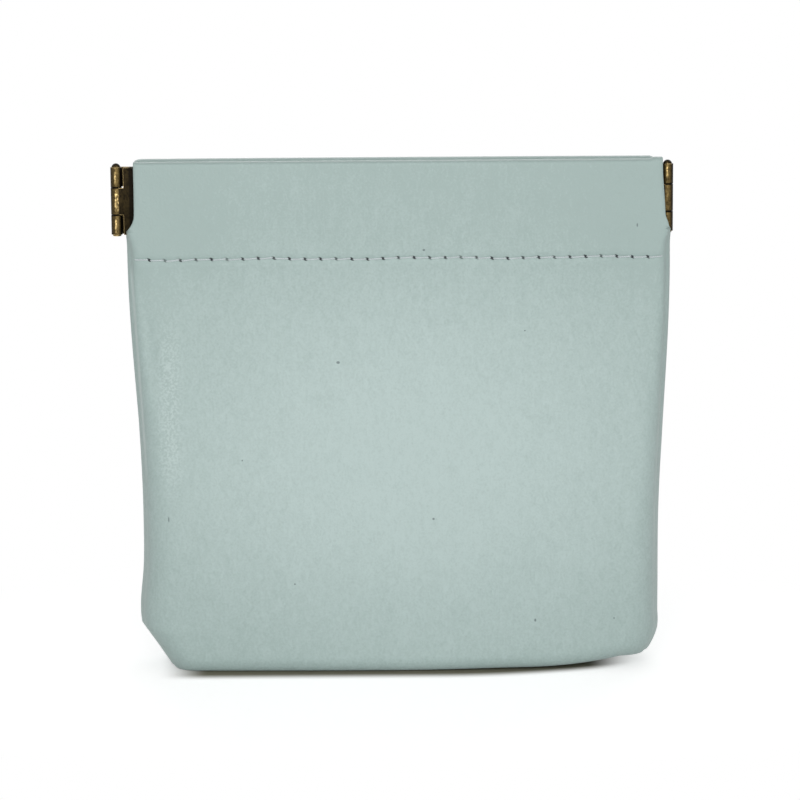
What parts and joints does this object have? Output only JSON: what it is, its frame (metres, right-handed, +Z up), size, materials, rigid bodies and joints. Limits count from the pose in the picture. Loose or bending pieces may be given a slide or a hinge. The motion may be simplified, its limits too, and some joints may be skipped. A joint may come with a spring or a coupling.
{
  "type": "squeeze coin purse",
  "caption": "Small soft leather coin purse with a spring flex frame in its mouth, which opens when the two end hinges are squeezed and snaps shut.",
  "frame": {"origin": "middle of the base on the surface the purse stands on, under the middle of the frame", "axes": "+X along the mouth to the right hinge, +Y to the rear, +Z up to the mouth"},
  "size_m": [0.1, 0.0204, 0.0914],
  "materials": {
    "leather": "fine matt grain, pale grey-green",
    "lining": "plain woven lining, grey",
    "spring_steel": "bright rolled strip",
    "antique_brass": "darkened antique plate with rubbed edges",
    "thread": "twisted polyester sewing thread, pale grey"
  },
  "bodies": {
    "pouch": {"base_leather": "leather", "base_lining": "lining", "left_side_thread": "thread", "right_side_thread": "thread"},
    "front_wall": {"front_leather": "leather", "front_lining": "lining", "front_facing": "leather", "front_spring": "spring_steel", "front_topstitch": "thread"},
    "rear_wall": {"rear_leather": "leather", "rear_lining": "lining", "rear_facing": "leather", "rear_spring": "spring_steel", "rear_topstitch": "thread"},
    "left_hinge_rear": {"rear_left_plate": "antique_brass", "rear_left_rivets": "antique_brass", "left_pin": "antique_brass"},
    "left_hinge_front": {"front_left_plate": "antique_brass", "front_left_rivets": "antique_brass"},
    "right_hinge_rear": {"rear_right_plate": "antique_brass", "rear_right_rivets": "antique_brass", "right_pin": "antique_brass"},
    "right_hinge_front": {"front_right_plate": "antique_brass", "front_right_rivets": "antique_brass"}
  },
  "joints": [
    {"name": "front_wall_open", "type": "hinge", "parent": "pouch", "child": "front_wall", "pos_m": [0.0011, -0.00975, 0.0032], "axis": [1, 0, 0], "range_deg": [0, 12.8], "stiffness_Nm_per_rad": 0.3, "springref_deg": -14.32, "deforming": ["front_spring", "front_facing"]},
    {"name": "rear_wall_open", "type": "hinge", "parent": "pouch", "child": "rear_wall", "pos_m": [0.0011, 0.00975, 0.0032], "axis": [-1, 0, 0], "range_deg": [0, 12.8], "stiffness_Nm_per_rad": 0.3, "springref_deg": -14.32, "deforming": ["rear_spring", "rear_facing"]},
    {"name": "left_rear_plate_turn", "type": "hinge", "parent": "pouch", "child": "left_hinge_rear", "pos_m": [-0.049, 0, 0.08435], "axis": [0, 0, 1], "range_deg": [0, 32]},
    {"name": "left_front_plate_turn", "type": "hinge", "parent": "left_hinge_rear", "child": "left_hinge_front", "pos_m": [-0.049, 0, 0.08435], "axis": [0, 0, -1], "range_deg": [0, 64]},
    {"name": "right_rear_plate_turn", "type": "hinge", "parent": "pouch", "child": "right_hinge_rear", "pos_m": [0.049, 0, 0.08435], "axis": [0, 0, -1], "range_deg": [0, 32]},
    {"name": "right_front_plate_turn", "type": "hinge", "parent": "right_hinge_rear", "child": "right_hinge_front", "pos_m": [0.049, 0, 0.08435], "axis": [0, 0, 1], "range_deg": [0, 64]}
  ],
  "couplings": [
    {"joint": "rear_wall_open", "follows": "front_wall_open", "ratio": 1},
    {"joint": "left_rear_plate_turn", "follows": "front_wall_open", "ratio": 2.5},
    {"joint": "left_front_plate_turn", "follows": "front_wall_open", "ratio": 5},
    {"joint": "right_rear_plate_turn", "follows": "front_wall_open", "ratio": 2.5},
    {"joint": "right_front_plate_turn", "follows": "front_wall_open", "ratio": 5}
  ]
}
